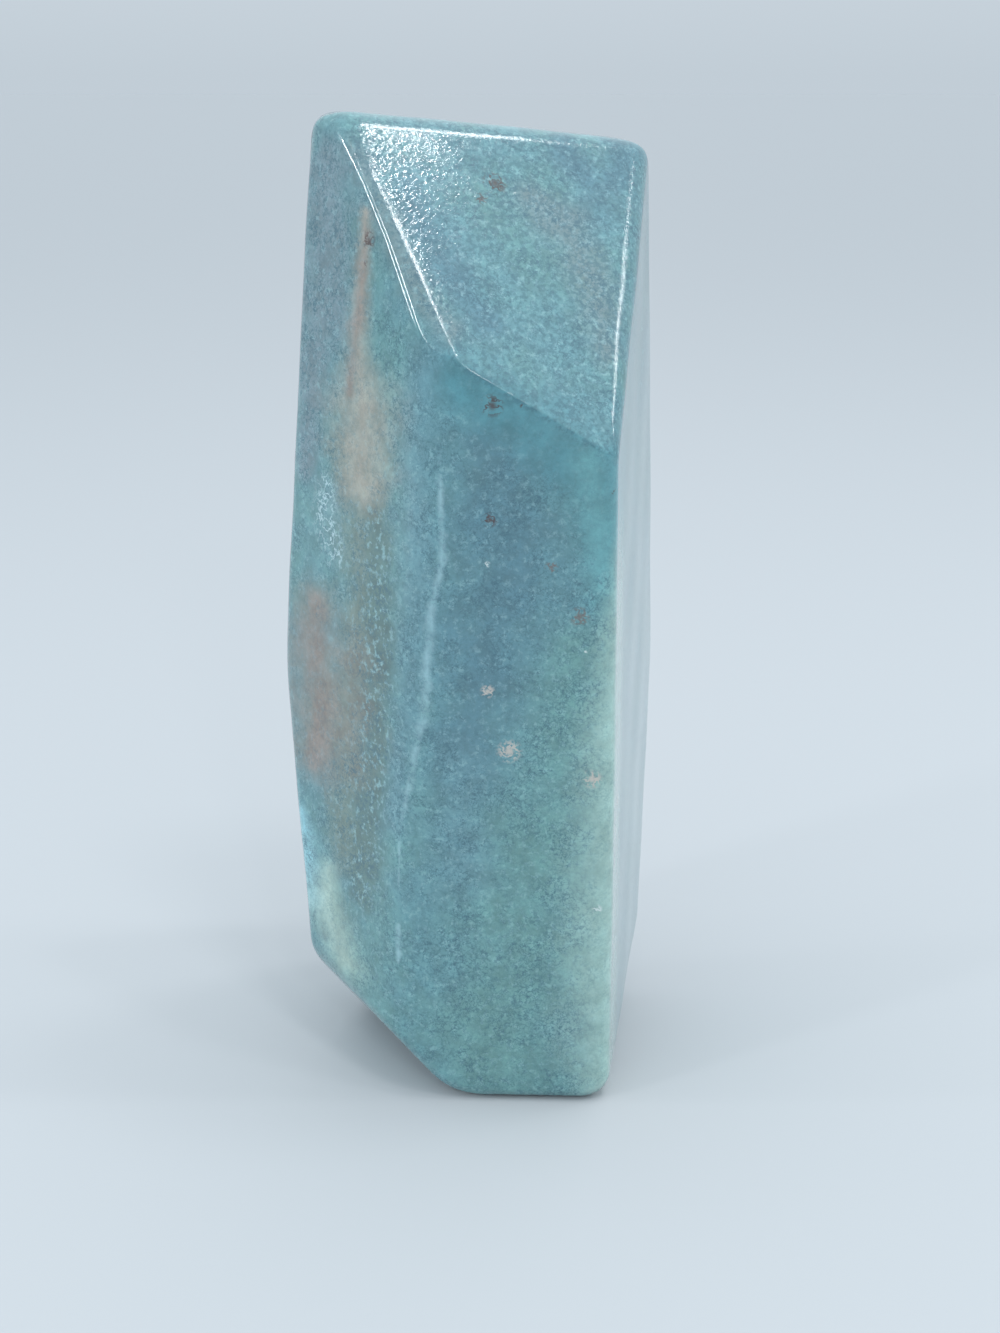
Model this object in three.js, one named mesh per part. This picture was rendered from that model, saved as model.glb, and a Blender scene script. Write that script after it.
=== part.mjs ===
// A polished trolleite free-form: one stone, ground into broad flat facets and standing on its foot.
// Millimetres, +Z up. The broad front looks along -Y and the slanted chisel facet is at the top.
// The origin is the middle of the stone's bounding box, on the surface that it stands on.

import * as THREE from 'three';
import { ConvexGeometry } from 'three/addons/geometries/ConvexGeometry.js';

// Height of the heart of the stone above its foot: each facet's reach is measured from there.
const HEART_HEIGHT = 38;

// Each facet is a ground plane. turn is the bearing that it faces, in degrees from the front (-Y) towards
// the right (+X), lean is how far it looks upwards, reach is its distance from the heart and polish is how
// softly its corners are rounded.
const FRONT = { turn: -1.9, lean: 0, reach: 13.8, polish: 0.5 };
const LEFT_CHEEK = { turn: -48.4, lean: 2.9, reach: 13.7, polish: 0.5 };
const CHISEL = { turn: 22.5, lean: 36.3, reach: 24.2, polish: 0.4 };
const ARRIS = { turn: -21, lean: 19, reach: 21.2, polish: 0.4 };
const CROWN = { turn: 116, lean: 84.4, reach: 41, polish: 1.4 };
const RIGHT = { turn: 79.3, lean: 0.5, reach: 11.4, polish: 1.2 };
const BACK_UPPER = { turn: 192.3, lean: 9.2, reach: 10.8, polish: 2 };
const BACK_LOWER = { turn: 178, lean: -16.5, reach: 16.9, polish: 2 };
const LEFT_UPPER = { turn: -112, lean: 4.8, reach: 17.2, polish: 2.4 };
const LEFT_LOWER = { turn: -112.3, lean: -6.6, reach: 17.7, polish: 2 };
const BEVEL = { turn: -60.5, lean: -36.4, reach: 30.4, polish: 2.5 };
const HEEL = { turn: 91, lean: -37, reach: 29.15, polish: 2 };
const FOOT = { turn: 0, lean: -90, reach: HEART_HEIGHT, polish: 1.5 };

// The front rolls over into the left cheek in a wide soft ridge, ground in narrow strips.
const RIDGE_RADIUS = 6;
const RIDGE_STRIPS = 4;

// Steps along each side of a rounded corner.
const CORNER_STEPS = 3;

// A point this little outside a facet still counts as lying on it.
const TOLERANCE = 1e-6;

const heart = new THREE.Vector3(0, 0, HEART_HEIGHT);

// The plane of a facet: points p with normal . p = offset, and the stone on the side of smaller values.
function facetPlane({ turn, lean, reach, polish }) {
  const bearing = THREE.MathUtils.degToRad(turn);
  const rise = THREE.MathUtils.degToRad(lean);
  const normal = new THREE.Vector3(
    Math.sin(bearing) * Math.cos(rise),
    -Math.cos(bearing) * Math.cos(rise),
    Math.sin(rise),
  );
  return { normal, offset: normal.dot(heart) + reach, polish };
}

// Narrow planes that touch a cylinder of the given radius laid inside the edge of two facets.
function softRidge(first, second, radius, strips) {
  const angle = first.normal.angleTo(second.normal);
  return Array.from({ length: strips }, (_, i) => {
    const share = (i + 1) / (strips + 1);
    const a = Math.sin((1 - share) * angle) / Math.sin(angle);
    const b = Math.sin(share * angle) / Math.sin(angle);
    const normal = first.normal.clone().multiplyScalar(a).addScaledVector(second.normal, b);
    const offset = a * (first.offset - radius) + b * (second.offset - radius) + radius;
    return { normal, offset, polish: first.polish };
  });
}

// The point where three planes meet, each set in by a distance, or null where they don't meet in one.
function meetingPoint(planes, setIn) {
  const [p, q, r] = planes.map(({ normal }) => normal);
  const rows = new THREE.Matrix3(p.x, p.y, p.z, q.x, q.y, q.z, r.x, r.y, r.z);
  if (Math.abs(rows.determinant()) < TOLERANCE) {
    return null;
  }
  const offsets = planes.map(({ offset }) => offset - setIn);
  return new THREE.Vector3(...offsets).applyMatrix3(rows.invert());
}

// The corners of the stone: each three planes whose meeting point no other plane cuts away.
function stoneCorners(planes) {
  const corners = [];
  for (let i = 0; i < planes.length; i += 1) {
    for (let j = i + 1; j < planes.length; j += 1) {
      for (let k = j + 1; k < planes.length; k += 1) {
        const meeting = [planes[i], planes[j], planes[k]];
        const point = meetingPoint(meeting, 0);
        if (point && planes.every(({ normal, offset }) => normal.dot(point) < offset + TOLERANCE)) {
          corners.push(meeting);
        }
      }
    }
  }
  return corners;
}

// Points on the ball that rounds a corner: the part of it between the corner's three facets.
function polishedCorner(facets) {
  const radius = Math.max(...facets.map(({ polish }) => polish));
  const centre = meetingPoint(facets, radius);
  const [a, b, c] = facets.map(({ normal }) => normal);
  const points = [];
  for (let i = 0; i <= CORNER_STEPS; i += 1) {
    for (let j = 0; j <= CORNER_STEPS - i; j += 1) {
      const way = a.clone().multiplyScalar(i).addScaledVector(b, j).addScaledVector(c, CORNER_STEPS - i - j);
      points.push(centre.clone().addScaledVector(way.normalize(), radius));
    }
  }
  return points;
}

function stoneGeometry() {
  const facets = [
    FRONT, LEFT_CHEEK, CHISEL, ARRIS, CROWN, RIGHT,
    BACK_UPPER, BACK_LOWER, LEFT_UPPER, LEFT_LOWER, BEVEL, HEEL, FOOT,
  ];
  const planes = facets.map(facetPlane);
  const [front, leftCheek] = planes;
  planes.push(...softRidge(front, leftCheek, RIDGE_RADIUS, RIDGE_STRIPS));
  const geometry = new ConvexGeometry(stoneCorners(planes).flatMap(polishedCorner));
  geometry.computeBoundingBox();
  const middle = geometry.boundingBox.getCenter(new THREE.Vector3());
  geometry.translate(-middle.x, -middle.y, 0);
  return geometry;
}

const trolleite = new THREE.MeshStandardMaterial({ color: 0x7099a3, roughness: 0.25, metalness: 0 });
const stone = new THREE.Mesh(stoneGeometry(), trolleite);
stone.name = 'stone';

const freeform = new THREE.Group();
freeform.add(stone);

export default freeform;
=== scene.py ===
"""A polished trolleite free-form: its ground facets, its grainy blue-green stone and a plain pale studio.

Fields and finishes are in millimetres, meshes and objects in metres. The stone stands in the frame's own
place: +Z is up and its broad front looks along -Y.
"""

import logging
import math
from dataclasses import dataclass, field
from enum import Enum

import bmesh
import bpy
import numpy as np
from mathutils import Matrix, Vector


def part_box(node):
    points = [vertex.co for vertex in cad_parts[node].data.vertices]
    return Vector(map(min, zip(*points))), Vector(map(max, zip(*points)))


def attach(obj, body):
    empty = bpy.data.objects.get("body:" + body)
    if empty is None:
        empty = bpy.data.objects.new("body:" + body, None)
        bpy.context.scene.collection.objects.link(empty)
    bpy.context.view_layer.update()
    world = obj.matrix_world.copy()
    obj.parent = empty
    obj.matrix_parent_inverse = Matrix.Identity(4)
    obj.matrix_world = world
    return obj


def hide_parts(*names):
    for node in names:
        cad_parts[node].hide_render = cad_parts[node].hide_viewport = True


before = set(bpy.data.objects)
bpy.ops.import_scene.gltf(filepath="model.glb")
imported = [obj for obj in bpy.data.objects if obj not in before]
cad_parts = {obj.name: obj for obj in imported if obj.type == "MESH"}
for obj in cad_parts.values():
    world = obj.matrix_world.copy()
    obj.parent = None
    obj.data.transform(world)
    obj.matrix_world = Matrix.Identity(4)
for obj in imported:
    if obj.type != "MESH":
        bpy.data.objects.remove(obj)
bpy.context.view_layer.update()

MM = 0.001
NODE = "stone"
BODY = "root"
LOG = logging.getLogger("trolleite")

Colour = tuple[float, float, float, float]
Path = tuple[tuple[float, float, float], ...]


def paint(red: int, green: int, blue: int) -> Colour:
    """Turn a screen colour into the linear one that shader sockets take.

    Args:
        red: Red from 0 to 255.
        green: Green from 0 to 255.
        blue: Blue from 0 to 255.

    Returns:
        Linear red, green and blue, and full cover.
    """
    def linear(level: int) -> float:
        """One channel, without the screen's curve."""
        share = level / 255
        return share / 12.92 if share <= 0.04045 else ((share + 0.055) / 1.055) ** 2.4

    return linear(red), linear(green), linear(blue), 1.0


def ease(values: np.ndarray, start: float, end: float) -> np.ndarray:
    """Rise smoothly from 0 to 1 as values go from start to end.

    Args:
        values: The numbers to go by.
        start: Where the rise starts.
        end: Where the rise ends.

    Returns:
        One share for each value.
    """
    share = np.clip((values - start) / (end - start), 0, 1)
    return share * share * (3 - 2 * share)


class Facet(Enum):
    """The ground facets, each by the bearing and the lean, in degrees, that it faces."""

    FRONT = (-1.9, 0.0)
    CHEEK = (-48.4, 2.9)
    CHISEL = (22.5, 36.3)
    ARRIS = (-21.0, 19.0)
    CROWN = (116.0, 84.4)
    RIGHT = (79.3, 0.5)
    BACK_UPPER = (192.3, 9.2)
    BACK_LOWER = (178.0, -16.5)
    LEFT_UPPER = (-112.0, 4.8)
    LEFT_LOWER = (-112.3, -6.6)
    BEVEL = (-60.5, -36.4)
    HEEL = (91.0, -37.0)
    FOOT = (0.0, -90.0)

    @property
    def facing(self) -> np.ndarray:
        """The way that the facet looks.

        Returns:
            The outward unit normal.
        """
        turn, lean = (math.radians(angle) for angle in self.value)
        level = math.cos(lean)
        return np.array([math.sin(turn) * level, -math.cos(turn) * level, math.sin(lean)])


@dataclass(frozen=True)
class Skin:
    """How far points lie outside a form, in millimetres, and the way out of it at each point.

    Attributes:
        value: The distance outside, negative inside.
        slope: The direction in which that distance grows.
    """

    value: np.ndarray
    slope: np.ndarray

    def meet(self, other: "Skin", radius: float | np.ndarray) -> "Skin":
        """Keep what lies inside both forms, with a rounded edge where they meet.

        Args:
            other: The form that cuts this one.
            radius: The edge's radius in millimetres, one for all points or one for each.

        Returns:
            The form inside both.
        """
        alike = np.einsum("ij,ij->i", self.way_out(), other.way_out())
        reach = np.maximum(radius * (1 - alike), 1e-4)
        gap = self.value - other.value
        share = np.clip(1 - np.abs(gap) / reach, 0, 1)
        value = np.maximum(self.value, other.value) + share * share * reach / 4
        lead = np.where(gap >= 0, 1 - share / 2, share / 2)[:, None]
        return Skin(value, lead * self.slope + (1 - lead) * other.slope)

    def way_out(self) -> np.ndarray:
        """The slope as unit vectors."""
        return self.slope / np.linalg.norm(self.slope, axis=1, keepdims=True)


@dataclass(frozen=True)
class GroundFacet:
    """One facet as it was ground: a plane that the polish has crowned a little.

    Attributes:
        normal: The outward unit normal.
        middle: The middle of the facet.
        dome: The radius of the slight dome, or infinity for a true plane.
    """

    normal: np.ndarray
    middle: np.ndarray
    dome: float

    def skin(self, points: np.ndarray) -> Skin:
        """The distance of points outside the facet.

        Args:
            points: Places in millimetres.

        Returns:
            The facet's skin at those places.
        """
        away = points - self.middle
        height = away @ self.normal
        across = away - height[:, None] * self.normal
        value = height + np.einsum("ij,ij->i", across, across) / (2 * self.dome)
        return Skin(value, self.normal + across / self.dome)


@dataclass(frozen=True)
class Streak:
    """A band of colour that runs through the stone from front to back.

    Attributes:
        name: The name of the band and of its mesh attribute.
        paths: Lines of points across the front: x, z and the band's half width there.
        depth: The y at which the band starts to die away, and that at which it is gone.
    """

    name: str
    paths: tuple[Path, ...]
    depth: tuple[float, float] = (900.0, 1000.0)

    def spread(self, points: np.ndarray) -> np.ndarray:
        """How far points lie from the band's middle line, in half widths.

        Args:
            points: Places in millimetres.

        Returns:
            One number for each place: 0 on the middle line and 1 at the band's border.
        """
        nearest = np.full(len(points), np.inf)
        flat = points[:, [0, 2]]
        for path in self.paths:
            for start, end in zip(path, path[1:]):
                base = np.array(start[:2])
                along = np.array(end[:2]) - base
                share = np.clip((flat - base) @ along / (along @ along), 0, 1)
                off = np.linalg.norm(flat - base - share[:, None] * along, axis=1)
                nearest = np.minimum(nearest, off / (start[2] + share * (end[2] - start[2])))
        return nearest + 4 * ease(points[:, 1], *self.depth)


class Band(Enum):
    """The bands of colour in the stone, some of them painted glow and painted reflection, placed by x, z
    and half width in millimetres.
    """

    BLUE = Streak("blue", (
        ((2.2, 56.0, 4.6), (2.6, 47.8, 5.2), (0.6, 38.4, 4.2), (-0.6, 33.0, 3.0)),
        ((-4.9, 75.0, 1.0), (-3.8, 71.9, 1.3), (-0.6, 67.6, 1.5), (1.6, 65.4, 1.0)),
        ((7.0, 77.3, 1.3), (10.0, 74.0, 2.0), (12.5, 76.4, 1.8)),
    ))
    # Grey tint on the chisel facet's right; the second path paints a reflection of the pale surroundings
    # along the arris and the facet's left edge.
    GREY_AND_SHEEN = Streak("grey_and_sheen", (
        ((4.4, 74.0, 1.0), (7.4, 71.5, 1.6), (9.6, 67.0, 1.5), (10.4, 63.0, 1.0)),
        ((-8.4, 77.0, 0.8), (-6.4, 72.0, 1.2), (-3.6, 67.0, 1.1), (-1.4, 64.8, 0.7)),
    ))
    TEAL = Streak("teal", (
        ((-1.5, 61.4, 2.0), (3.7, 58.6, 2.2), (9.9, 53.5, 2.8), (10.4, 48.0, 1.4)),
    ), (-12.0, 6.0))
    FERN = Streak("fern", (
        ((8.0, 41.0, 1.8), (6.8, 30.0, 3.2), (4.6, 16.0, 5.0), (1.0, 5.0, 5.0)),
    ), (-12.0, 6.0))
    # Painted glow: pale green along the thin right edge, painted for the light that shines through the
    # edge.
    PAINTED_EDGE_GLOW = Streak("painted_edge_glow", (
        ((15.0, 57.0, 0.8), (12.9, 50.0, 0.9), (12.0, 44.6, 1.2), (11.5, 32.3, 2.2), (11.5, 19.0, 3.0),
         (11.5, 6.0, 3.0), (11.5, 1.0, 2.0)),
    ), (-12.5, -2.5))
    VIOLET = Streak("violet", (
        ((-11.0, 76.0, 2.4), (-12.0, 66.0, 2.4), (-13.4, 57.0, 1.6), (-13.8, 52.0, 1.0)),
    ))
    MOSS = Streak("moss", (
        ((-7.6, 51.0, 0.8), (-7.6, 46.0, 1.2), (-7.6, 40.0, 1.5), (-7.9, 33.3, 1.6), (-8.5, 26.3, 1.6),
         (-9.6, 17.0, 1.4)),
    ))
    OLIVE = Streak("olive", (
        ((-8.9, 54.0, 1.9), (-9.0, 48.5, 1.7), (-8.9, 44.0, 1.3), (-9.5, 39.0, 1.5), (-10.6, 33.0, 1.8),
         (-10.8, 27.0, 1.6), (-10.8, 20.0, 1.6)),
    ))
    ICE = Streak("ice", (
        ((-3.4, 63.0, 1.2), (-4.0, 58.5, 1.5), (-4.2, 53.0, 1.3), (-3.9, 47.0, 1.4), (-4.5, 41.0, 1.1),
         (-4.8, 36.2, 1.0), (-5.9, 30.9, 0.9), (-6.6, 24.6, 0.8)),
        ((-1.4, 30.0, 2.4), (-1.9, 21.7, 2.6)),
    ))
    # Painted glow: the clear stone near the right edge painted brighter for light shining through the edge.
    GLOW = Streak("glow", (
        ((8.8, 55.6, 1.2), (10.0, 50.5, 2.2), (10.0, 45.0, 1.6)),
    ), (-12.0, 6.0))
    SKY = Streak("sky", (
        ((-15.2, 22.0, 0.6), (-14.7, 18.0, 1.6), (-14.2, 14.0, 1.1)),
    ))
    TAN = Streak("tan", (
        ((-8.0, 73.0, 0.35), (-8.4, 68.0, 0.5), (-8.9, 63.0, 0.8), (-8.5, 58.0, 2.4), (-8.8, 54.5, 2.0),
         (-9.0, 52.0, 1.5)),
    ))
    RUST = Streak("rust", (
        ((-7.9, 71.6, 0.3), (-8.2, 69.0, 0.45), (-8.5, 66.6, 0.4), (-9.3, 62.4, 0.35), (-9.7, 59.0, 0.2)),
    ))
    BROWN = Streak("brown", (
        ((-13.0, 41.5, 1.5), (-13.0, 37.0, 3.2), (-13.1, 31.5, 3.4), (-13.5, 27.5, 2.0)),
    ))
    FROST = Streak("frost", (
        ((-11.9, 51.6, 0.7), (-12.1, 48.5, 1.1), (-11.3, 45.6, 0.9)),
    ))
    STRAW = Streak("straw", (
        ((-12.6, 18.0, 0.9), (-12.9, 13.6, 1.9), (-11.3, 10.2, 1.6)),
    ))
    VEIN = Streak("vein", (
        ((-2.5, 57.5, 0.1), (-2.4, 53.9, 0.18), (-2.2, 47.7, 0.26), (-3.1, 43.8, 0.26), (-3.5, 39.0, 0.4),
         (-3.8, 34.8, 0.36), (-4.7, 31.2, 0.34), (-6.0, 24.6, 0.12), (-6.3, 18.0, 0.07)),
        ((-6.3, 16.2, 0.12), (-6.2, 14.6, 0.3), (-6.35, 12.6, 0.1)),
    ))


class Speck(Enum):
    """The kinds of small inclusion."""

    BROWN = "brown"
    RUST = "rust"
    PINK = "pink"
    WHITE = "white"


@dataclass(frozen=True)
class Inclusion:
    """One small inclusion at the surface.

    Attributes:
        kind: What it looks like.
        place: Where it lies, in millimetres.
        size: Its half width in millimetres.
    """

    kind: Speck
    place: tuple[float, float, float]
    size: float


INCLUSIONS = (
    Inclusion(Speck.BROWN, (1.8, -3.4, 75.0), 1.15),
    Inclusion(Speck.BROWN, (0.8, -4.7, 73.9), 0.65),
    Inclusion(Speck.WHITE, (3.4, -3.4, 74.2), 0.25),
    Inclusion(Speck.BROWN, (-7.9, -7.4, 71.0), 0.9),
    Inclusion(Speck.BROWN, (-8.1, -7.3, 69.4), 0.5),
    Inclusion(Speck.BROWN, (1.6, -14.2, 59.6), 1.0),
    Inclusion(Speck.BROWN, (3.8, -14.3, 59.6), 0.22),
    Inclusion(Speck.BROWN, (1.4, -14.2, 50.9), 0.7),
    Inclusion(Speck.WHITE, (1.2, -14.2, 47.4), 0.28),
    Inclusion(Speck.RUST, (6.1, -14.4, 47.2), 0.6),
    Inclusion(Speck.RUST, (8.3, -14.4, 43.3), 0.9),
    Inclusion(Speck.BROWN, (10.8, -14.1, 53.1), 0.3),
    Inclusion(Speck.WHITE, (8.8, -14.5, 40.4), 0.2),
    Inclusion(Speck.PINK, (1.2, -14.2, 37.1), 0.65),
    Inclusion(Speck.PINK, (2.9, -14.3, 32.1), 1.1),
    Inclusion(Speck.PINK, (9.5, -14.5, 29.8), 0.9),
    Inclusion(Speck.PINK, (11.8, -11.2, 26.6), 0.6),
    Inclusion(Speck.WHITE, (10.1, -14.4, 18.3), 0.5),
)


class Bench:
    """Adds shader nodes to one material or sky and wires them together."""

    def __init__(self, owner: bpy.types.Material | bpy.types.World) -> None:
        """Start on an empty tree.

        Args:
            owner: The material or the sky whose nodes these are.
        """
        owner.use_nodes = True
        self.tree = owner.node_tree
        self.tree.nodes.clear()

    def add(self, kind: str, **settings: object) -> bpy.types.Node:
        """Add a node.

        Args:
            kind: The node's type name.
            settings: The node's own properties.

        Returns:
            The new node.
        """
        node = self.tree.nodes.new(kind)
        for name, value in settings.items():
            setattr(node, name, value)
        return node

    def feed(self, socket: bpy.types.NodeSocket, value: object) -> None:
        """Give a socket a wire from another socket, or a plain value.

        Args:
            socket: The socket that is fed.
            value: Another socket, or a number, a vector or a colour.
        """
        if isinstance(value, bpy.types.NodeSocket):
            self.tree.links.new(value, socket)
        else:
            socket.default_value = value

    def math(self, operation: str, *values: object, clamp: bool = False) -> bpy.types.NodeSocket:
        """Work out one number from others.

        Args:
            operation: The operation's name.
            values: Sockets or numbers.
            clamp: Whether the result stays between 0 and 1.

        Returns:
            The result's socket.
        """
        node = self.add("ShaderNodeMath", operation=operation, use_clamp=clamp)
        for socket, value in zip(node.inputs, values):
            self.feed(socket, value)
        return node.outputs[0]

    def vector(self, operation: str, *values: object) -> bpy.types.Node:
        """Work out a vector from others.

        Args:
            operation: The operation's name.
            values: Sockets or vectors.

        Returns:
            The node, whose outputs are Vector and Value.
        """
        node = self.add("ShaderNodeVectorMath", operation=operation)
        for socket, value in zip(node.inputs, values):
            self.feed(socket, value)
        return node

    def fade(self, value: bpy.types.NodeSocket, start: float, end: float,
             low: float = 0.0, high: float = 1.0) -> bpy.types.NodeSocket:
        """Go smoothly from low to high as value goes from start to end.

        Args:
            value: The socket that is read.
            start: Where the change starts.
            end: Where the change ends.
            low: The result up to start.
            high: The result from end on.

        Returns:
            The result's socket.
        """
        node = self.add("ShaderNodeMapRange", interpolation_type="SMOOTHSTEP")
        for socket, number in zip(node.inputs, (value, start, end, low, high)):
            self.feed(socket, number)
        return node.outputs[0]

    def mix(self, share: object, under: object, over: object, mode: str = "MIX") -> bpy.types.NodeSocket:
        """Lay one colour over another.

        Args:
            share: How much of the upper colour shows.
            under: The lower colour.
            over: The upper colour.
            mode: How they blend.

        Returns:
            The colour's socket.
        """
        node = self.add("ShaderNodeMix", data_type="RGBA", blend_type=mode)
        self.feed(node.inputs[0], share)
        self.feed(node.inputs[6], under)
        self.feed(node.inputs[7], over)
        return node.outputs[2]

    def noise(self, place: bpy.types.NodeSocket, grain: float, detail: float = 3.0,
              rough: float = 0.55) -> bpy.types.Node:
        """Add cloudy noise.

        Args:
            place: The place in millimetres.
            grain: The size of the clouds in millimetres.
            detail: How many finer layers there are.
            rough: How strong the finer layers are.

        Returns:
            The node, whose outputs are Fac and Color.
        """
        node = self.add("ShaderNodeTexNoise")
        self.feed(node.inputs["Vector"], place)
        node.inputs["Scale"].default_value = 1 / grain
        node.inputs["Detail"].default_value = detail
        node.inputs["Roughness"].default_value = rough
        return node

    def worms(self, clouds: bpy.types.NodeSocket, level: float, start: float, end: float,
              least: float = 0.0) -> bpy.types.NodeSocket:
        """Draw winding threads, where cloudy noise passes through one level.

        Args:
            clouds: The noise.
            level: The level that the threads follow.
            start: How far from that level a thread starts to fade.
            end: How far from that level it is gone.
            least: What is left between the threads.

        Returns:
            The share's socket: 1 on a thread.
        """
        off = self.math("ABSOLUTE", self.math("SUBTRACT", clouds, level))
        return self.fade(off, start, end, 1.0, least)

    def read(self, name: str) -> bpy.types.NodeSocket:
        """The socket of a number stored on the mesh."""
        return self.add("ShaderNodeAttribute", attribute_name=name).outputs["Fac"]


@dataclass(frozen=True)
class TrolleiteFinish:
    """Polished trolleite: a sugary blue-green stone with warm and pale bands.

    Attributes:
        teal: The usual stone.
        green: The greener stone.
        blue: The blue heart of the front and patches of the chisel facet.
        grey_and_sheen: The grey on the chisel facet, partly the stone's grey tint and, along its arris, a
            painted reflection of the pale surroundings.
        fern: The greener lower right of the front.
        deep: The clear deep stone below the chisel facet.
        glow: The clear stone near the right edge, painted brighter: a painted glow of light shining through
            the edge.
        painted_edge_glow: The pale green painted along the thin right edge: a painted glow of light shining
            through the edge.
        violet: The violet-blue of the left cheek.
        moss: The grey-green grainy band.
        olive: The olive stone between the moss and the warm bands.
        ice: The pale blue beside the vein.
        sky: The bright blue of the lower left edge.
        tan: The warm band down the left cheek.
        rust: The reddish thread in the upper part of the warm band.
        brown: The brown-grey patch on the left edge.
        frost: The pale crackled patch.
        straw: The yellowish lower left corner.
        vein: The pale thread along the soft ridge.
        fleck: The dark threads between grains.
        sugar: The pale grains.
        specks: The colours of the small inclusions.
        cloud: The size of the clouds of teal and green, in millimetres.
        drift: The size of the waves in the bands' borders.
        shade: The size of the lighter and darker spots.
        crowd: The size of the patches in which dark threads crowd.
        threads: The sizes of the dark threads, each with its width in the noise.
        grain: The size of the sugary grains.
        sand: The size of the dark grains on the chisel facet.
        fine: The size of the dark flecks.
        wisp: The size of the wisps along the vein.
        web: The size of the crackle's meshes.
        twist: The size of the twists in an inclusion's arms.
        lapping: The size and the depth of the lapping marks.
        glints: The size and the depth of the glinting grains.
        polish: The roughness of the polished facets.
        index: The stone's refractive index.
        gloss: How strong the clear gloss of the last polish is.
        gloss_rough: Its roughness.
        gloss_index: Its refractive index.
        milkiness: How much of the light wanders through the stone.
        milk_depth: How far that light wanders.
        milk_tint: How far its red, green and blue wander, as shares.
    """

    teal: Colour = paint(99, 147, 155)
    green: Colour = paint(99, 147, 149)
    blue: Colour = paint(85, 129, 143)
    # Partly the stone's grey tint, partly a painted reflection of the pale surroundings on the arris.
    grey_and_sheen: Colour = paint(115, 138, 142)
    fern: Colour = paint(106, 154, 152)
    deep: Colour = paint(79, 138, 149)
    # Painted glow of light through the clear stone near the right edge.
    glow: Colour = paint(101, 160, 166)
    # Painted glow of light shining through the thin right edge.
    painted_edge_glow: Colour = paint(164, 196, 188)
    violet: Colour = paint(119, 141, 150)
    moss: Colour = paint(88, 117, 114)
    olive: Colour = paint(116, 133, 124)
    ice: Colour = paint(101, 145, 156)
    sky: Colour = paint(142, 196, 208)
    tan: Colour = paint(171, 166, 154)
    rust: Colour = paint(134, 112, 105)
    brown: Colour = paint(140, 127, 119)
    frost: Colour = paint(172, 202, 210)
    straw: Colour = paint(178, 200, 186)
    vein: Colour = paint(164, 202, 212)
    fleck: Colour = paint(58, 102, 118)
    sugar: Colour = paint(158, 204, 210)
    specks: dict[Speck, Colour] = field(default_factory=lambda: {
        Speck.BROWN: paint(72, 48, 46),
        Speck.RUST: paint(108, 96, 92),
        Speck.PINK: paint(198, 190, 181),
        Speck.WHITE: paint(214, 226, 226),
    })
    cloud: float = 6.0
    drift: float = 3.2
    shade: float = 1.7
    crowd: float = 2.2
    threads: tuple[tuple[float, float], ...] = ((0.95, 0.03), (0.6, 0.04))
    grain: float = 0.55
    sand: float = 0.42
    fine: float = 0.36
    wisp: float = 1.1
    web: float = 1.0
    twist: float = 0.7
    lapping: tuple[float, float] = (0.34, 0.03)
    glints: tuple[float, float] = (0.44, 0.05)
    polish: float = 0.11
    index: float = 1.5
    gloss: float = 0.5
    gloss_rough: float = 0.08
    gloss_index: float = 1.64
    milkiness: float = 0.3
    milk_depth: float = 2.0
    milk_tint: tuple[float, float, float] = (0.7, 1.0, 1.0)

    def material(self) -> bpy.types.Material:
        """Make the stone's material.

        Returns:
            The new material.
        """
        made = bpy.data.materials.new("trolleite")
        bench = Bench(made)
        place = self._place(bench)
        grains = bench.noise(place, self.grain, 3.0, 0.6).outputs["Fac"]
        colour = self._bands(bench, place)
        colour = self._sugar(bench, colour, grains, place)
        colour = self._threads(bench, colour, place)
        colour = self._inclusions(bench, colour, place)
        rough = bench.fade(grains, 0.35, 0.65, self.polish - 0.03, self.polish + 0.05)
        normal = self._relief(bench, place)
        shader = bench.add("ShaderNodeBsdfPrincipled")
        settings = {
            "Base Color": colour,
            "Roughness": rough,
            "IOR": self.index,
            "Coat Weight": self.gloss,
            "Coat Roughness": self.gloss_rough,
            "Coat IOR": self.gloss_index,
            "Subsurface Weight": self.milkiness,
            "Subsurface Radius": self.milk_tint,
            "Subsurface Scale": self.milk_depth * MM,
            "Normal": normal,
            "Coat Normal": normal,
        }
        for name, value in settings.items():
            bench.feed(shader.inputs[name], value)
        output = bench.add("ShaderNodeOutputMaterial")
        bench.feed(output.inputs["Surface"], shader.outputs[0])
        return made

    def _relief(self, bench: Bench, place: bpy.types.NodeSocket) -> bpy.types.NodeSocket:
        """Mark the surface with faint lapping, and with coarser grains where the chisel facet glints.

        Args:
            bench: The material's bench.
            place: The place in millimetres.

        Returns:
            The normal's socket.
        """
        grain, depth = self.lapping
        lapping = bench.add("ShaderNodeBump")
        bench.feed(lapping.inputs["Distance"], depth * MM)
        bench.feed(lapping.inputs["Strength"], bench.fade(bench.read("lap"), 0.0, 1.0, 0.12, 0.7))
        bench.feed(lapping.inputs["Height"], bench.noise(place, grain, 3.0, 0.6).outputs["Fac"])
        grain, depth = self.glints
        glints = bench.add("ShaderNodeBump")
        bench.feed(glints.inputs["Distance"], depth * MM)
        bench.feed(glints.inputs["Strength"], bench.read("glint"))
        bench.feed(glints.inputs["Height"], bench.noise(place, grain, 1.0, 0.5).outputs["Fac"])
        bench.feed(glints.inputs["Normal"], lapping.outputs[0])
        return glints.outputs[0]

    def _place(self, bench: Bench) -> bpy.types.NodeSocket:
        """The place in the stone, in millimetres."""
        coordinates = bench.add("ShaderNodeTexCoord").outputs["Object"]
        return bench.vector("MULTIPLY", coordinates, (1 / MM,) * 3).outputs[0]

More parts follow.
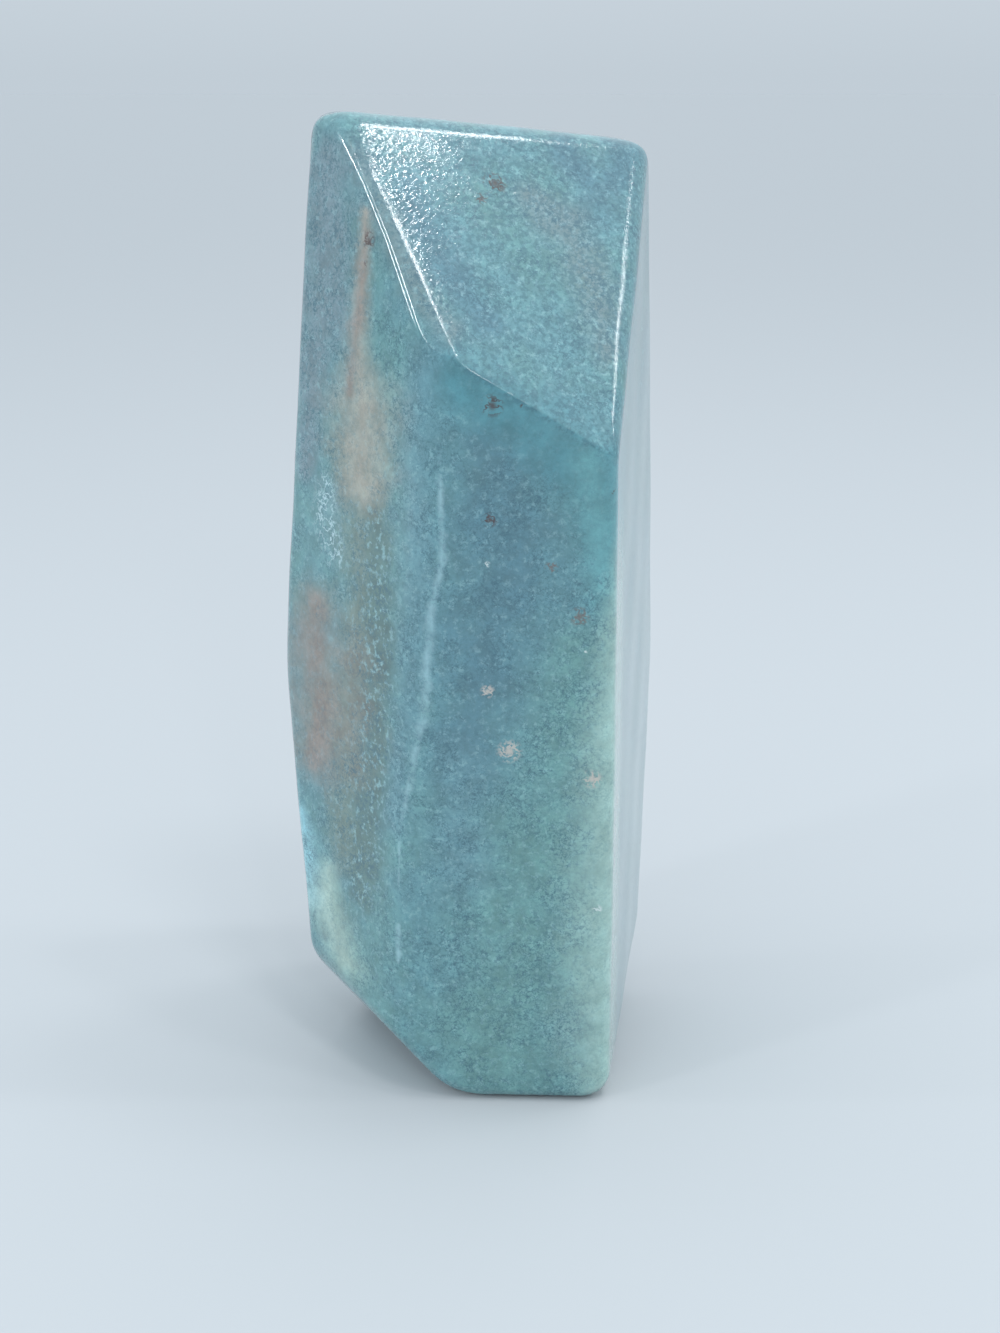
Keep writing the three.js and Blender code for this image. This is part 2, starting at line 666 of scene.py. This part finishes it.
    def _bands(self, bench: Bench, place: bpy.types.NodeSocket) -> bpy.types.NodeSocket:
        """Lay the bands of colour over the usual stone.

        Args:
            bench: The material's bench.
            place: The place in millimetres.

        Returns:
            The colour's socket.
        """
        clouds = bench.noise(place, self.cloud, 3.0, 0.55).outputs["Fac"]
        drift = bench.noise(place, self.drift, 4.0, 0.55).outputs["Fac"]
        wander = bench.math("MULTIPLY_ADD", drift, 2.2, -1.1)
        colour = bench.mix(bench.fade(clouds, 0.36, 0.64), self.teal, self.green)
        # Each layer: its band and tint, the half widths at which it starts to fade and is gone, the most of
        # it that shows and how far its border strays.
        layers = (
            (Band.BLUE, self.blue, -0.1, 1.8, 0.95, 1.0),
            # Grey tint, with a painted reflection along the arris.
            (Band.GREY_AND_SHEEN, self.grey_and_sheen, -0.2, 1.9, 0.85, 1.0),
            (Band.FERN, self.fern, -0.2, 1.8, 0.9, 0.8),
            (Band.TEAL, self.deep, 0.0, 1.8, 0.95, 0.5),
            # Painted glow in the clear stone near the right edge.
            (Band.GLOW, self.glow, -0.3, 1.9, 0.9, 0.5),
            # Painted glow along the thin right edge.
            (Band.PAINTED_EDGE_GLOW, self.painted_edge_glow, -0.3, 2.2, 0.95, 0.4),
            (Band.VIOLET, self.violet, 0.0, 1.8, 0.9, 1.0),
            (Band.OLIVE, self.olive, -0.2, 2.1, 0.85, 1.0),
            (Band.MOSS, self.moss, 0.0, 1.8, 0.85, 1.1),
            (Band.ICE, self.ice, 0.0, 1.8, 0.85, 1.0),
            (Band.TAN, self.tan, -0.8, 2.3, 1.0, 0.8),
            (Band.RUST, self.rust, -0.8, 2.8, 0.6, 1.6),
            (Band.BROWN, self.brown, -0.6, 2.2, 0.95, 1.0),
            (Band.SKY, self.sky, -0.3, 1.9, 0.9, 0.6),
            (Band.STRAW, self.straw, -0.4, 2.0, 0.7, 0.6),
        )
        for band, tint, start, end, most, stray in layers:
            edge = bench.math("MULTIPLY_ADD", wander, stray, bench.read(band.value.name))
            colour = bench.mix(bench.fade(edge, start, end, most, 0.0), colour, tint)
        return colour

    def _threads(self, bench: Bench, colour: bpy.types.NodeSocket,
                 place: bpy.types.NodeSocket) -> bpy.types.NodeSocket:
        """Draw the pale vein and the crackle.

        Args:
            bench: The material's bench.
            colour: The stone's colour so far.
            place: The place in millimetres.

        Returns:
            The colour's socket.
        """
        wisp = bench.noise(place, self.wisp, 5.0, 0.7).outputs["Fac"]
        stray = bench.math("MULTIPLY_ADD", wisp, 6.0, -3.0)
        thread = bench.math("ADD", bench.read(Band.VEIN.value.name), stray)
        colour = bench.mix(bench.fade(thread, -1.0, 1.9, 0.62, 0.0), colour, self.vein)
        lines = bench.worms(bench.noise(place, self.web, 3.0, 0.6).outputs["Fac"], 0.5, 0.005, 0.04, 0.08)
        near = bench.fade(bench.read(Band.FROST.value.name), 0.2, 1.6, 1.0, 0.0)
        return bench.mix(bench.math("MULTIPLY", lines, near), colour, self.frost)

    def _sugar(self, bench: Bench, colour: bpy.types.NodeSocket, grains: bpy.types.NodeSocket,
               place: bpy.types.NodeSocket) -> bpy.types.NodeSocket:
        """Set pale grains and dark threads in the stone.

        Args:
            bench: The material's bench.
            colour: The stone's colour so far.
            grains: The cloudy grains.
            place: The place in millimetres.

        Returns:
            The colour's socket.
        """
        shade = bench.noise(place, self.shade, 7.0, 0.68).outputs["Fac"]
        tone = bench.add("ShaderNodeCombineColor")
        for socket in tone.inputs:
            bench.feed(socket, bench.fade(shade, 0.25, 0.75, 0.8, 1.2))
        colour = bench.mix(1.0, colour, tone.outputs[0], "MULTIPLY")
        lapped = bench.fade(bench.read("lap"), 0.0, 1.0, 0.28, 0.32)
        sparkly = bench.fade(bench.read(Band.MOSS.value.name), 0.2, 1.3, 0.35, 0.0)
        pale = bench.math("MULTIPLY", bench.fade(grains, 0.5, 0.68), bench.math("ADD", lapped, sparkly))
        colour = bench.mix(bench.math("MULTIPLY", pale, self._calm(bench)), colour, self.sugar)
        crowd = bench.noise(place, self.crowd, 4.0, 0.65).outputs["Fac"]
        strength = bench.math("MULTIPLY", bench.fade(crowd, 0.34, 0.64, 0.15, 0.68), self._calm(bench))
        for size, width in self.threads:
            line = bench.worms(bench.noise(place, size, 3.0, 0.65).outputs["Fac"], 0.48, 0.0, width)
            colour = bench.mix(bench.math("MULTIPLY", line, strength), colour, self.fleck)
        fine = bench.noise(place, self.fine, 2.0, 0.5).outputs["Fac"]
        dark = bench.math("MULTIPLY", bench.fade(fine, 0.36, 0.46, 0.8, 0.0), strength)
        colour = bench.mix(dark, colour, self.fleck)
        sand = bench.noise(place, self.sand, 2.0, 0.6).outputs["Fac"]
        sandy = bench.math("MULTIPLY", bench.fade(sand, 0.4, 0.54, 0.5, 0.0), bench.read("lap"))
        return bench.mix(sandy, colour, self.fleck)

    def _calm(self, bench: Bench) -> bpy.types.NodeSocket:
        """Make the share of grain that shows, which is less in the clear band, the painted edge glow and
        the warm bands.

        Args:
            bench: The material's bench.

        Returns:
            The share's socket.
        """
        share = 1.0
        for band, least in ((Band.TEAL, 0.25), (Band.PAINTED_EDGE_GLOW, 0.3), (Band.TAN, 0.35), (Band.BROWN, 0.4),
                            (Band.STRAW, 0.4)):
            part = bench.fade(bench.read(band.value.name), 0.3, 1.7, least, 1.0)
            share = bench.math("MULTIPLY", part, share)
        return share

    def _inclusions(self, bench: Bench, colour: bpy.types.NodeSocket,
                    place: bpy.types.NodeSocket) -> bpy.types.NodeSocket:
        """Set the small inclusions in the stone.

        Args:
            bench: The material's bench.
            colour: The stone's colour so far.
            place: The place in millimetres.

        Returns:
            The colour's socket.
        """
        arms = bench.worms(bench.noise(place, self.twist, 2.0, 0.6).outputs["Fac"], 0.5, 0.02, 0.07)
        for kind, tint in self.specks.items():
            nearest = None
            for speck in (each for each in INCLUSIONS if each.kind is kind):
                off = bench.vector("DISTANCE", place, speck.place).outputs["Value"]
                share = bench.math("DIVIDE", off, speck.size)
                nearest = share if nearest is None else bench.math("MINIMUM", nearest, share)
            heart = bench.fade(nearest, 0.05, 0.5, 0.9, 0.0)
            reach = bench.math("MULTIPLY", arms, bench.fade(nearest, 0.4, 1.1, 0.9, 0.0))
            cover = bench.math("MULTIPLY", bench.math("MAXIMUM", heart, reach), 0.92)
            colour = bench.mix(cover, colour, tint)
        return colour


@dataclass
class Stone:
    """The stone: one polished solid, ground to facets whose edges are rounded as they were polished.

    All sizes are in millimetres, and each pair is where a change starts and where it ends.

    Attributes:
        mesh_step: The distance between the mesh's points before it is refined.
        ridge: The radius of the soft ridge between the front and the left cheek.
        left_bend: The radius of the bend between the two left facets.
        back_ridge: The radius of the ridge between the two back facets.
        left_edges: The radius of the left facets' upright edges.
        back_edges: The radius of the back's upright edges.
        right_edges: The radius of the right facet's upright edges.
        chisel_arris: The radius of the chisel facet's edge to its arris, low down.
        chisel_arris_high: The radius of the same edge at the top.
        arris_rise: The heights between which that edge grows softer.
        arris_edge: The radius of the arris's edge to the front and the cheek.
        crown_edge: The radius of the crown's edge to the chisel facet.
        bevel_foot: The radius of the bevel's edge to the foot.
        heel_foot: The radius of the heel's edge to the foot.
        bottom_edges: The radius of the other edges around the foot.
        bevel_edges: The radius of the bevel's edges to the sides.
        bevel_side: The x between which that radius takes over.
        crisp: The radius of the chisel facet's lower edge.
        right_of_chisel: The radius of the chisel facet's right edge.
        right_side: The x between which that radius takes over.
        arris_side: The x between which the arris's radius takes over.
        top_corners: The radius of the corners at the crown.
        crown_rise: The heights between which that radius takes over.
        top_begins: A height below all of the top's edges.
        dome: The radius of the slight dome that polishing gave each facet.
        chisel_dome: The radius of the chisel facet's dome.
        chisel_grind: How much deeper the chisel facet is ground than in the frame's solid.
        ripple: The height of the polishing waves.
        ripple_length: The length of the shortest of those waves.
        foot_calm: The heights between which those waves start.
        refine_reaches: How far from the top's edges each round divides the mesh.
        settle_steps: How many steps bring the mesh onto the form.
        lap_border: How far off the chisel facet its lapping fades and is gone.
        glint_border: How far off the chisel facet's left edge the glints start and are full.
        glint_reach: How far they reach at their lower end and at the crown.
        glint_spread: The heights between which that reach grows.
        glint_rise: The heights between which the glints grow strong.
        finish: The stone's finish.
    """

    mesh_step: float = 0.42
    ridge: float = 7.0
    left_bend: float = 30.0
    back_ridge: float = 6.0
    left_edges: float = 1.8
    back_edges: float = 2.0
    right_edges: float = 1.5
    chisel_arris: float = 1.2
    chisel_arris_high: float = 3.4
    arris_rise: tuple[float, float] = (64.0, 78.0)
    arris_edge: float = 0.9
    crown_edge: float = 3.2
    bevel_foot: float = 5.0
    heel_foot: float = 2.4
    bottom_edges: float = 1.7
    bevel_edges: float = 4.0
    bevel_side: tuple[float, float] = (-6.0, -11.0)
    crisp: float = 0.4
    right_of_chisel: float = 2.4
    right_side: tuple[float, float] = (9.0, 11.5)
    arris_side: tuple[float, float] = (-1.5, -4.5)
    top_corners: float = 2.2
    crown_rise: tuple[float, float] = (75.0, 78.5)
    top_begins: float = 50.0
    dome: float = 5000.0
    chisel_dome: float = 480.0
    chisel_grind: float = 0.3
    ripple: float = 0.012
    ripple_length: float = 7.0
    foot_calm: tuple[float, float] = (0.5, 3.0)
    refine_reaches: tuple[float, ...] = (1.0, 0.5)
    settle_steps: int = 8
    lap_border: tuple[float, float] = (0.05, 0.6)
    glint_border: tuple[float, float] = (0.2, 0.7)
    glint_reach: tuple[float, float] = (0.9, 2.8)
    glint_spread: tuple[float, float] = (60.0, 77.0)
    glint_rise: tuple[float, float] = (57.0, 68.0)
    finish: TrolleiteFinish = field(default_factory=TrolleiteFinish)

    def __post_init__(self) -> None:
        """Read the facets from the frame."""
        self.facets = {facet: self._ground(facet) for facet in Facet}

    def _ground(self, facet: Facet) -> GroundFacet:
        """Find one facet among the flat faces of the frame's solid.

        Args:
            facet: The facet to find.

        Returns:
            The facet as ground.
        """
        faces = [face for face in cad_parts[NODE].data.polygons
                 if np.dot(face.normal, facet.facing) > math.cos(math.radians(1))]
        areas = np.array([face.area for face in faces])
        centres = np.array([face.center for face in faces]) / MM
        middle = (areas[:, None] * centres).sum(axis=0) / areas.sum()
        dome = {Facet.FOOT: math.inf, Facet.CHISEL: self.chisel_dome}.get(facet, self.dome)
        if facet is Facet.CHISEL:
            middle = middle - self.chisel_grind * facet.facing
        return GroundFacet(facet.facing, middle, dome)

    def form(self, points: np.ndarray) -> Skin:
        """The polished form of the whole stone.

        Args:
            points: Places in millimetres.

        Returns:
            The stone's skin at those places.
        """
        sides, top, bottom = self._sides(points), self._top(points), self._bottom(points)
        left = ease(points[:, 0], *self.bevel_side)
        whole = sides.meet(bottom, self.bottom_edges + (self.bevel_edges - self.bottom_edges) * left)
        whole = whole.meet(top, self._top_radius(points))
        value, slope = self._ripples(points)
        share = ease(np.abs(points[:, 2]), *self.foot_calm)
        return Skin(whole.value + share * value, whole.slope + share[:, None] * slope)

    def _sides(self, points: np.ndarray) -> Skin:
        """The upright facets, with their soft ridges and edges.

        Args:
            points: Places in millimetres.

        Returns:
            The skin of the sides at those places.
        """
        skin = {facet: ground.skin(points) for facet, ground in self.facets.items()}
        broad = skin[Facet.FRONT].meet(skin[Facet.CHEEK], self.ridge)
        left = skin[Facet.LEFT_UPPER].meet(skin[Facet.LEFT_LOWER], self.left_bend)
        back = skin[Facet.BACK_UPPER].meet(skin[Facet.BACK_LOWER], self.back_ridge)
        sides = broad.meet(left, self.left_edges).meet(back, self.back_edges)
        return sides.meet(skin[Facet.RIGHT], self.right_edges)

    def _top(self, points: np.ndarray) -> Skin:
        """The chisel facet with its arris, softer higher up, and the crown.

        Args:
            points: Places in millimetres.

        Returns:
            The skin of the top at those places.
        """
        facets = (Facet.CHISEL, Facet.ARRIS, Facet.CROWN)
        chisel, arris, crown = (self.facets[facet].skin(points) for facet in facets)
        high = ease(points[:, 2], *self.arris_rise)
        radius = self.chisel_arris + (self.chisel_arris_high - self.chisel_arris) * high
        return chisel.meet(arris, radius).meet(crown, self.crown_edge)

    def _bottom(self, points: np.ndarray) -> Skin:
        """The foot with the bevel and the heel beside it.

        Args:
            points: Places in millimetres.

        Returns:
            The skin of the bottom at those places.
        """
        facets = (Facet.FOOT, Facet.BEVEL, Facet.HEEL)
        foot, bevel, heel = (self.facets[facet].skin(points) for facet in facets)
        return foot.meet(bevel, self.bevel_foot).meet(heel, self.heel_foot)

    def _top_radius(self, points: np.ndarray) -> np.ndarray:
        """The radius of the top's edges: crisp at the front and softer to the right and at the crown.

        Args:
            points: Places in millimetres.

        Returns:
            One radius for each place.
        """
        right = ease(points[:, 0], *self.right_side)
        left = ease(points[:, 0], *self.arris_side)
        high = ease(points[:, 2], *self.crown_rise)
        radius = self.crisp + (self.right_of_chisel - self.crisp) * right
        radius = radius + (self.arris_edge - self.crisp) * left
        return radius + (self.top_corners - radius) * high

    def _ripples(self, points: np.ndarray) -> tuple[np.ndarray, np.ndarray]:
        """The faint waves that hand polishing leaves.

        Args:
            points: Places in millimetres.

        Returns:
            The height of the waves, and how it changes.
        """
        value = np.zeros(len(points))
        slope = np.zeros_like(points)
        for index, bearing in enumerate((0.3, 1.5, 2.4, 3.9, 5.2)):
            way = np.array([math.cos(bearing), math.sin(bearing), math.sin(2.3 * bearing)])
            rate = 2 * math.pi / (self.ripple_length * (1 + 0.23 * index))
            phase = rate * (points @ way) + 1.7 * index
            value += self.ripple * np.sin(phase)
            slope += self.ripple * rate * np.cos(phase)[:, None] * way
        return value, slope

    def settle(self, points: np.ndarray) -> np.ndarray:
        """Bring points onto the polished form.

        Args:
            points: Places near the form, in millimetres.

        Returns:
            The places on the form.
        """
        for _ in range(self.settle_steps):
            skin = self.form(points)
            step = skin.value / np.einsum("ij,ij->i", skin.slope, skin.slope)
            points = points - step[:, None] * skin.slope
        return points

    def build(self) -> bpy.types.Object:
        """Make the stone's mesh, dress it and set it in the frame.

        Returns:
            The stone.
        """
        mesh = self._blank()
        self._shape(mesh)
        for reach in self.refine_reaches:
            self._refine(mesh, reach)
            self._shape(mesh)
        self._mark(mesh)
        mesh.materials.append(self.finish.material())
        piece = bpy.data.objects.new("polished_stone", mesh)
        bpy.context.scene.collection.objects.link(piece)
        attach(piece, BODY)
        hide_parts(NODE)
        return piece

    def _blank(self) -> bpy.types.Mesh:
        """Cover the frame's solid with an even mesh.

        Returns:
            The mesh, still with the solid's own edges.
        """
        rough = bpy.data.objects.new("blank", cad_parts[NODE].data.copy())
        rough.data.materials.clear()
        bpy.context.scene.collection.objects.link(rough)
        cover = rough.modifiers.new("cover", "REMESH")
        cover.mode = "VOXEL"
        cover.voxel_size = self.mesh_step * MM
        graph = bpy.context.evaluated_depsgraph_get()
        mesh = bpy.data.meshes.new_from_object(rough.evaluated_get(graph))
        mesh.name = "polished_stone"
        bpy.data.objects.remove(rough)
        return mesh

    def _places(self, mesh: bpy.types.Mesh) -> np.ndarray:
        """Read where the points of a mesh are.

        Args:
            mesh: The mesh to read.

        Returns:
            Its points in millimetres.
        """
        places = np.empty(3 * len(mesh.vertices), np.float32)
        mesh.vertices.foreach_get("co", places)
        return places.reshape(-1, 3).astype(float) / MM

    def _shape(self, mesh: bpy.types.Mesh) -> None:
        """Bring a mesh onto the polished form, with the form's own normals.

        Args:
            mesh: The mesh to shape.
        """
        places = self.settle(self._places(mesh))
        mesh.vertices.foreach_set("co", (places * MM).astype(np.float32).ravel())
        mesh.shade_smooth()
        mesh.normals_split_custom_set_from_vertices(self.form(places).way_out())
        mesh.update()

    def _refine(self, mesh: bpy.types.Mesh, reach: float) -> None:
        """Divide the mesh along the crisp edges of the top.

        Args:
            mesh: The mesh to divide.
            reach: How far from those edges it is divided, in millimetres.
        """
        places = self._places(mesh)
        gap = np.abs(self._top(places).value - self._sides(places).value)
        near = (gap < reach) & (places[:, 2] > self.top_begins)
        work = bmesh.new()
        work.from_mesh(mesh)
        work.verts.ensure_lookup_table()
        edges = [edge for edge in work.edges if all(near[point.index] for point in edge.verts)]
        bmesh.ops.subdivide_edges(work, edges=edges, cuts=1, use_grid_fill=True)
        uneven = [face for face in work.faces if len(face.verts) > 4]
        bmesh.ops.triangulate(work, faces=uneven)
        work.to_mesh(mesh)
        work.free()

    def _mark(self, mesh: bpy.types.Mesh) -> None:
        """Store on the mesh where each band runs, and where the chisel facet is lapped and glints.

        Args:
            mesh: The mesh to mark.
        """
        places = self._places(mesh)
        marks = {band.value.name: band.value.spread(places) for band in Band}
        off_chisel = self.facets[Facet.CHISEL].skin(places).value
        marks["lap"] = 1 - ease(np.abs(off_chisel), *self.lap_border)
        marks["glint"] = marks["lap"] * self._glints(places, off_chisel)
        for name, values in marks.items():
            mark = mesh.attributes.new(name, "FLOAT", "POINT")
            mark.data.foreach_set("value", values.astype(np.float32))

    def _glints(self, places: np.ndarray, off_chisel: np.ndarray) -> np.ndarray:
        """How strongly the grains glint beside the chisel facet's left edge.

        Args:
            places: Places in millimetres.
            off_chisel: How far they lie outside the chisel facet.

        Returns:
            One share for each place.
        """
        height = places[:, 2]
        across = np.abs(self.facets[Facet.ARRIS].skin(places).value - off_chisel)
        short, long = self.glint_reach
        reach = short + (long - short) * ease(height, *self.glint_spread)
        near = ease(across / reach, 1.0, 0.4) * ease(across, *self.glint_border)
        return near * ease(height, *self.glint_rise)


@dataclass(frozen=True)
class SoftLight:
    """A rectangular studio light that looks at the stone.

    Attributes:
        name: The light's name.
        way: The direction from the stone to the light.
        away: The distance from the stone in millimetres.
        size: The light's width and height in millimetres.
        power: The power in watts.
    """

    name: str
    way: tuple[float, float, float]
    away: float
    size: tuple[float, float]
    power: float

    def hang(self, target: Vector) -> bpy.types.Object:
        """Hang the light.

        Args:
            target: The place that the light looks at, in metres.

        Returns:
            The light.
        """
        lamp = bpy.data.lights.new(self.name, "AREA")
        lamp.shape = "RECTANGLE"
        lamp.size, lamp.size_y = (side * MM for side in self.size)
        lamp.energy = self.power
        light = bpy.data.objects.new(self.name, lamp)
        way = Vector(self.way).normalized()
        light.location = target + way * self.away * MM
        light.rotation_euler = (-way).to_track_quat("-Z", "Y").to_euler()
        bpy.context.scene.collection.objects.link(light)
        return light


@dataclass
class Studio:
    """The pale floor, the soft light and the camera.

    Attributes:
        floor_colour: The floor's paint.
        floor_rough: The roughness of that paint.
        floor_size: The floor's width and depth in millimetres.
        horizon: The sky's colour at the horizon, which the far floor fades into.
        zenith: The sky's colour overhead.
        camera_place: Where the camera stands, in millimetres.
        camera_pitch: How far the camera looks down, in degrees.
        lens: The camera's focal length in millimetres.
        sensor: The longer side of the camera's sensor in millimetres.
        nearest: The nearest that the camera sees, in millimetres.
        lights: The studio lights.
    """

    floor_colour: Colour = paint(184, 189, 193)
    floor_rough: float = 0.7
    floor_size: float = 16000.0
    horizon: Colour = (0.538, 0.612, 0.676, 1.0)
    zenith: Colour = (1.26, 1.35, 1.42, 1.0)
    camera_place: tuple[float, float, float] = (2.17, -143.04, 82.9)
    camera_pitch: float = 18.75
    lens: float = 47.09
    sensor: float = 36.0
    nearest: float = 5.0
    lights: tuple[SoftLight, ...] = (
        SoftLight("overhead", (0.315, 0.06, 0.94), 480.0, (58.0, 76.0), 0.2),
        SoftLight("spark", (0.31, -0.15, 0.94), 480.0, (22.0, 22.0), 0.13),
        SoftLight("overhead_front", (0.24, -0.4, 0.885), 480.0, (72.0, 72.0), 0.24),
        SoftLight("front_lamp", (0.21, -0.85, 0.48), 480.0, (36.0, 36.0), 0.13),
        SoftLight("right_strip", (0.78, -0.05, 0.62), 420.0, (20.0, 160.0), 0.16),
        SoftLight("left_panel", (-0.985, -0.06, 0.17), 420.0, (30.0, 80.0), 0.2),
        SoftLight("left_panel_front", (-0.76, -0.5, 0.42), 420.0, (30.0, 100.0), 0.2),
    )

    def floor(self) -> bpy.types.Object:
        """Lay the floor.

        Returns:
            The floor.
        """
        half = self.floor_size / 2 * MM
        mesh = bpy.data.meshes.new("floor")
        corners = [(-half, -half, 0), (half, -half, 0), (half, half, 0), (-half, half, 0)]
        mesh.from_pydata(corners, [], [(0, 1, 2, 3)])
        mesh.materials.append(self._floor_paint())
        piece = bpy.data.objects.new("floor", mesh)
        bpy.context.scene.collection.objects.link(piece)
        return piece

    def _floor_paint(self) -> bpy.types.Material:
        """Mix the floor's matt pale paint.

        Returns:
            The new material.
        """
        made = bpy.data.materials.new("floor_paint")
        bench = Bench(made)
        shader = bench.add("ShaderNodeBsdfPrincipled")
        shader.inputs["Base Color"].default_value = self.floor_colour
        shader.inputs["Roughness"].default_value = self.floor_rough
        output = bench.add("ShaderNodeOutputMaterial")
        bench.feed(output.inputs["Surface"], shader.outputs[0])
        return made

    def light(self, target: Vector) -> None:
        """Light the stone from the sky and the lights.

        Args:
            target: The place that the lights look at, in metres.
        """
        world = bpy.data.worlds.new("sky")
        bench = Bench(world)
        way = bench.add("ShaderNodeSeparateXYZ")
        bench.feed(way.inputs[0], bench.add("ShaderNodeTexCoord").outputs["Generated"])
        height = bench.math("MAXIMUM", way.outputs["Z"], 0.0)
        glow = bench.add("ShaderNodeBackground")
        bench.feed(glow.inputs["Color"], bench.mix(height, self.horizon, self.zenith))
        bench.feed(bench.add("ShaderNodeOutputWorld").inputs["Surface"], glow.outputs[0])
        scene = bpy.context.scene
        scene.world = world
        scene.view_settings.view_transform = "Standard"
        for light in self.lights:
            light.hang(target)

    def camera(self) -> bpy.types.Object:
        """Set up the camera.

        Returns:
            The camera.
        """
        lens = bpy.data.cameras.new("camera")
        lens.lens = self.lens
        lens.sensor_width = self.sensor
        lens.clip_start = self.nearest * MM
        camera = bpy.data.objects.new("camera", lens)
        camera.location = Vector(self.camera_place) * MM
        camera.rotation_euler = (math.radians(90 - self.camera_pitch), 0, 0)
        bpy.context.scene.collection.objects.link(camera)
        bpy.context.scene.camera = camera
        return camera


def main() -> None:
    """Build the stone and its studio."""
    logging.basicConfig(level=logging.INFO, format="%(name)s: %(message)s")
    studio = Studio()
    LOG.info("camera: %s", studio.camera().name)
    stone = Stone().build()
    LOG.info("piece: %s, %d faces", stone.name, len(stone.data.polygons))
    LOG.info("stage: %s", studio.floor().name)
    low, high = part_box(NODE)
    studio.light((low + high) / 2)
    LOG.info("lights: %s", ", ".join(light.name for light in studio.lights))


if __name__ == "__main__":
    main()
